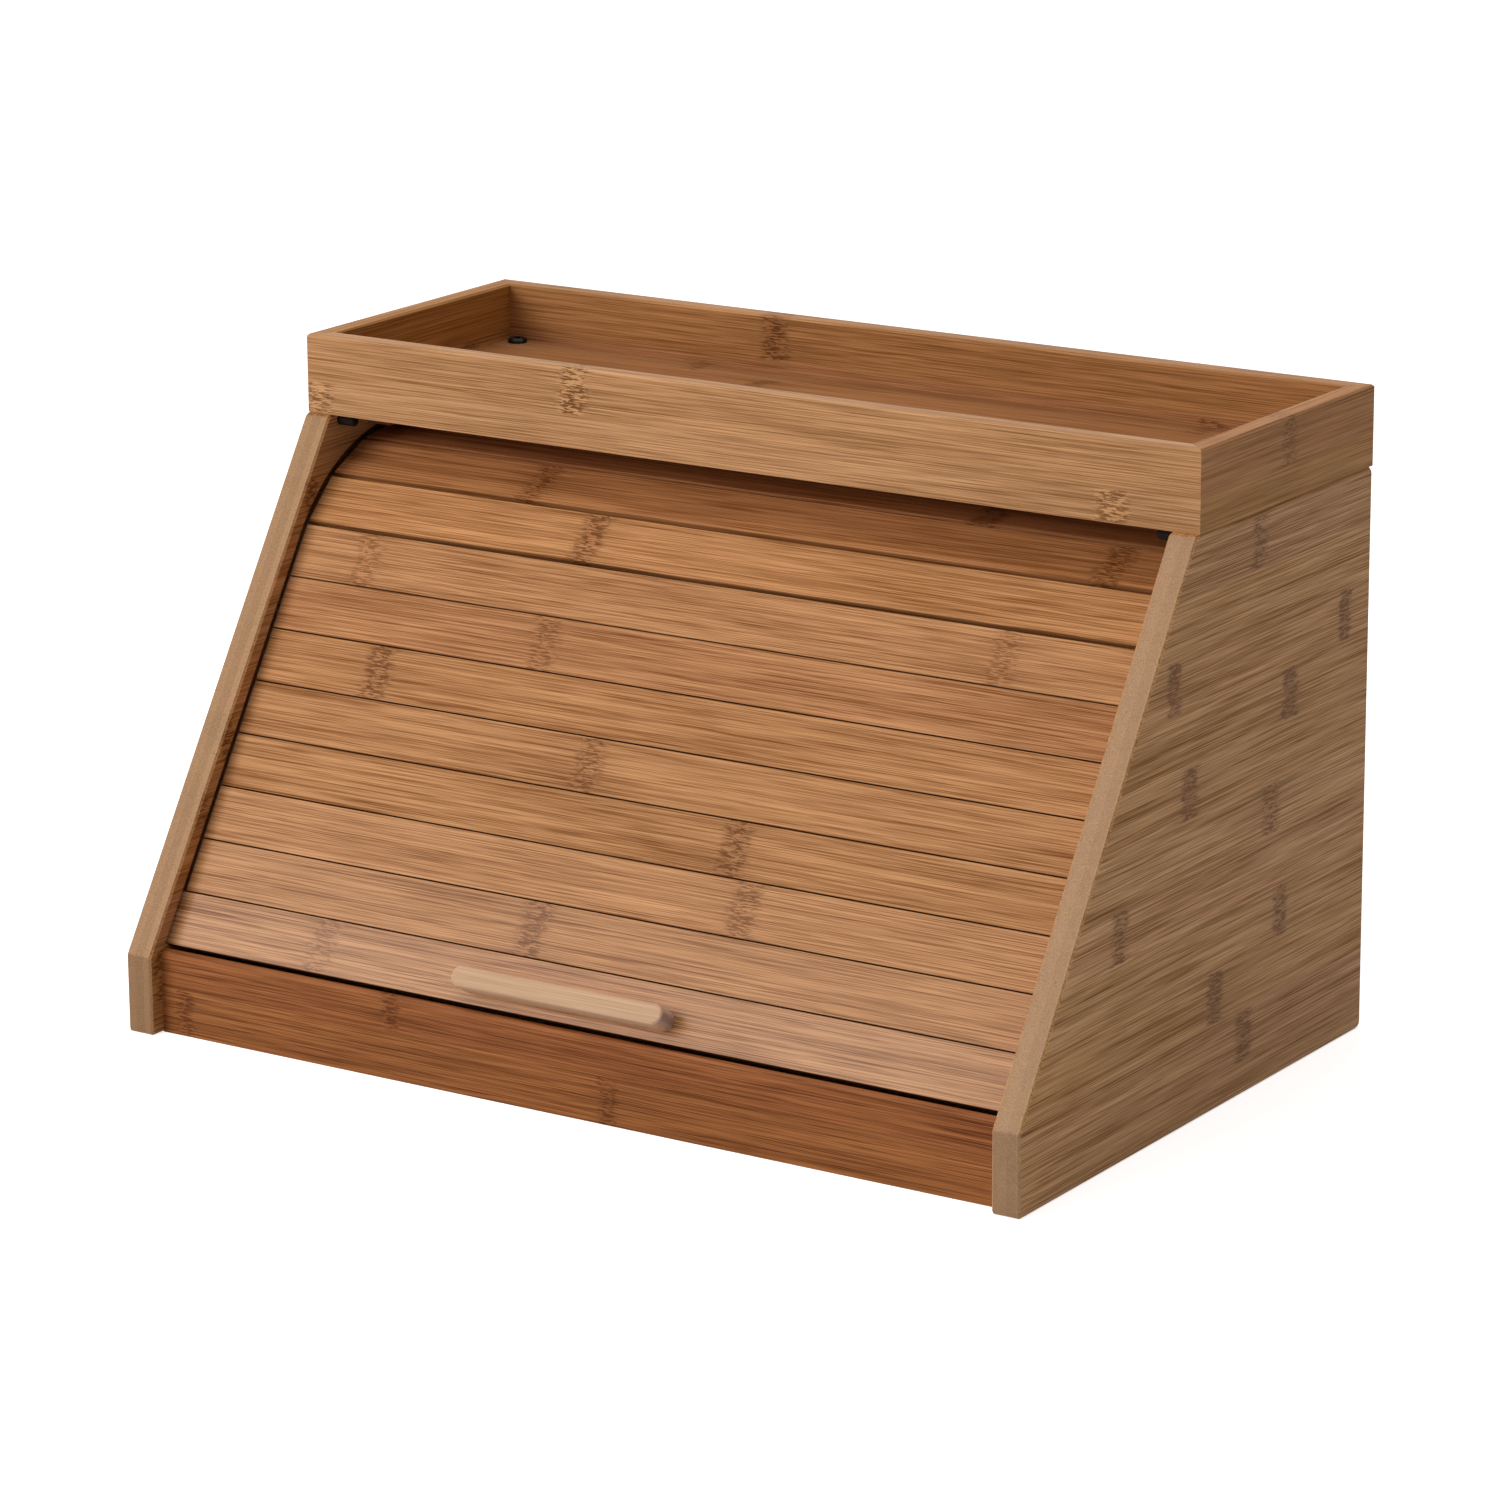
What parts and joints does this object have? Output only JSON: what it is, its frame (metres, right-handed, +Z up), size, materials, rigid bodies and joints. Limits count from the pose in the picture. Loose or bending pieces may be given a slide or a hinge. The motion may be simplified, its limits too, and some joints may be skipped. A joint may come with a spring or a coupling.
{
  "type": "bread_box",
  "caption": "Roll-top bamboo bread box: slatted tambour front with a handle bar sliding in curved side grooves, and an open shallow tray screwed on top",
  "frame": {"origin": "centre of the box on the table plane, under the side panels", "axes": "+X to the right seen from the front, +Y to the back, +Z up"},
  "size_m": [0.41, 0.264, 0.2595],
  "materials": {
    "panel_bamboo": "caramel bamboo laminated from strips, satin lacquer",
    "tray_bamboo": "caramel bamboo with long fine grain, satin lacquer",
    "slat_bamboo": "caramel bamboo strips, one tone differing from the next, satin lacquer",
    "rail_bamboo": "darker caramel bamboo, satin lacquer",
    "board_bamboo": "caramel bamboo board, satin lacquer",
    "handle_bamboo": "pale natural bamboo, rounded and lacquered",
    "canvas": "undyed cotton canvas, plain weave",
    "beech": "plain beech dowel",
    "black_steel": "black oxide",
    "zinc_steel": "bright zinc",
    "black_rubber": "black moulded rubber"
  },
  "bodies": {
    "carcass": {"back_panel": "board_bamboo", "bottom_panel": "board_bamboo", "dowel_back_left": "beech", "dowel_back_right": "beech", "dowel_front_left": "beech", "dowel_front_right": "beech", "dowel_rail_left": "beech", "dowel_rail_right": "beech", "front_rail": "rail_bamboo", "side_panel_left": "panel_bamboo", "side_panel_right": "panel_bamboo", "stop_peg_left": "black_rubber", "stop_peg_right": "black_rubber", "tray_back": "tray_bamboo", "tray_cleat_left": "rail_bamboo", "tray_cleat_right": "rail_bamboo", "tray_floor": "tray_bamboo", "tray_front": "tray_bamboo", "tray_left": "tray_bamboo", "tray_right": "tray_bamboo", "tray_screw_back_left": "black_steel", "tray_screw_back_right": "black_steel", "tray_screw_front_left": "black_steel", "tray_screw_front_right": "black_steel"},
    "tambour_slat_01": {"slat_01": "slat_bamboo", "canvas_01": "canvas", "handle": "handle_bamboo", "handle_screw_left": "zinc_steel", "handle_screw_right": "zinc_steel"},
    "tambour_slat_02": {"slat_02": "slat_bamboo", "canvas_02": "canvas"},
    "tambour_slat_03": {"slat_03": "slat_bamboo", "canvas_03": "canvas"},
    "tambour_slat_04": {"slat_04": "slat_bamboo", "canvas_04": "canvas"},
    "tambour_slat_05": {"slat_05": "slat_bamboo", "canvas_05": "canvas"},
    "tambour_slat_06": {"slat_06": "slat_bamboo", "canvas_06": "canvas"},
    "tambour_slat_07": {"slat_07": "slat_bamboo", "canvas_07": "canvas"},
    "tambour_slat_08": {"slat_08": "slat_bamboo", "canvas_08": "canvas"},
    "tambour_slat_09": {"slat_09": "slat_bamboo", "canvas_09": "canvas"},
    "tambour_slat_10": {"slat_10": "slat_bamboo", "canvas_10": "canvas"},
    "tambour_slat_11": {"slat_11": "slat_bamboo", "canvas_11": "canvas"},
    "tambour_slat_12": {"slat_12": "slat_bamboo", "canvas_12": "canvas"}
  },
  "joints": [
    {"name": "tambour_lift", "type": "slide", "parent": "carcass", "child": "tambour_slat_01", "axis": [0, 0.5388, 0.8425], "range_m": [0, 0.16]},
    {"name": "seam_turn_02", "type": "hinge", "parent": "carcass", "child": "tambour_slat_02", "pos_m": [0, 0.4013, -0.177], "axis": [-1, 0, 0], "range_deg": [0, 16.62]},
    {"name": "seam_turn_03", "type": "hinge", "parent": "carcass", "child": "tambour_slat_03", "pos_m": [0, 0.17242, -0.01727], "axis": [-1, 0, 0], "range_deg": [0, 33.32]},
    {"name": "seam_turn_04", "type": "hinge", "parent": "carcass", "child": "tambour_slat_04", "pos_m": [0, 0.09655, 0.04523], "axis": [-1, 0, 0], "range_deg": [0, 51.23]},
    {"name": "seam_turn_05", "type": "hinge", "parent": "carcass", "child": "tambour_slat_05", "pos_m": [0, 0.06345, 0.08005], "axis": [-1, 0, 0], "range_deg": [0, 69.14]},
    {"name": "seam_turn_06", "type": "hinge", "parent": "carcass", "child": "tambour_slat_06", "pos_m": [0, 0.04736, 0.10388], "axis": [-1, 0, 0], "range_deg": [0, 87.06]},
    {"name": "seam_turn_07", "type": "hinge", "parent": "carcass", "child": "tambour_slat_07", "pos_m": [0, 0.04012, 0.12198], "axis": [-1, 0, 0], "range_deg": [0, 104.97]},
    {"name": "seam_turn_08", "type": "hinge", "parent": "carcass", "child": "tambour_slat_08", "pos_m": [0, 0.03845, 0.13614], "axis": [-1, 0, 0], "range_deg": [0, 122.37]},
    {"name": "seam_turn_09", "type": "hinge", "parent": "carcass", "child": "tambour_slat_09", "pos_m": [0, 0.03912, 0.13969], "axis": [-1, 0, 0], "range_deg": [0, 127.41]},
    {"name": "seam_turn_10", "type": "hinge", "parent": "carcass", "child": "tambour_slat_10", "pos_m": [0, 0.03517, 0.13244], "axis": [-1, 0, 0], "range_deg": [0, 116.25]},
    {"name": "seam_turn_11", "type": "hinge", "parent": "carcass", "child": "tambour_slat_11", "pos_m": [0, 0.02376, 0.12111], "axis": [-1, 0, 0], "range_deg": [0, 98.34]},
    {"name": "seam_turn_12", "type": "hinge", "parent": "carcass", "child": "tambour_slat_12", "pos_m": [0, 0.00464, 0.10974], "axis": [-1, 0, 0], "range_deg": [0, 80.43]}
  ],
  "couplings": [
    {"joint": "seam_turn_02", "follows": "tambour_lift", "rad_per_m": 1.8124},
    {"joint": "seam_turn_03", "follows": "tambour_lift", "rad_per_m": 3.6343},
    {"joint": "seam_turn_04", "follows": "tambour_lift", "rad_per_m": 5.5884},
    {"joint": "seam_turn_05", "follows": "tambour_lift", "rad_per_m": 7.5424},
    {"joint": "seam_turn_06", "follows": "tambour_lift", "rad_per_m": 9.4964},
    {"joint": "seam_turn_07", "follows": "tambour_lift", "rad_per_m": 11.45},
    {"joint": "seam_turn_08", "follows": "tambour_lift", "rad_per_m": 13.349},
    {"joint": "seam_turn_09", "follows": "tambour_lift", "rad_per_m": 13.898},
    {"joint": "seam_turn_10", "follows": "tambour_lift", "rad_per_m": 12.681},
    {"joint": "seam_turn_11", "follows": "tambour_lift", "rad_per_m": 10.727},
    {"joint": "seam_turn_12", "follows": "tambour_lift", "rad_per_m": 8.7733}
  ]
}
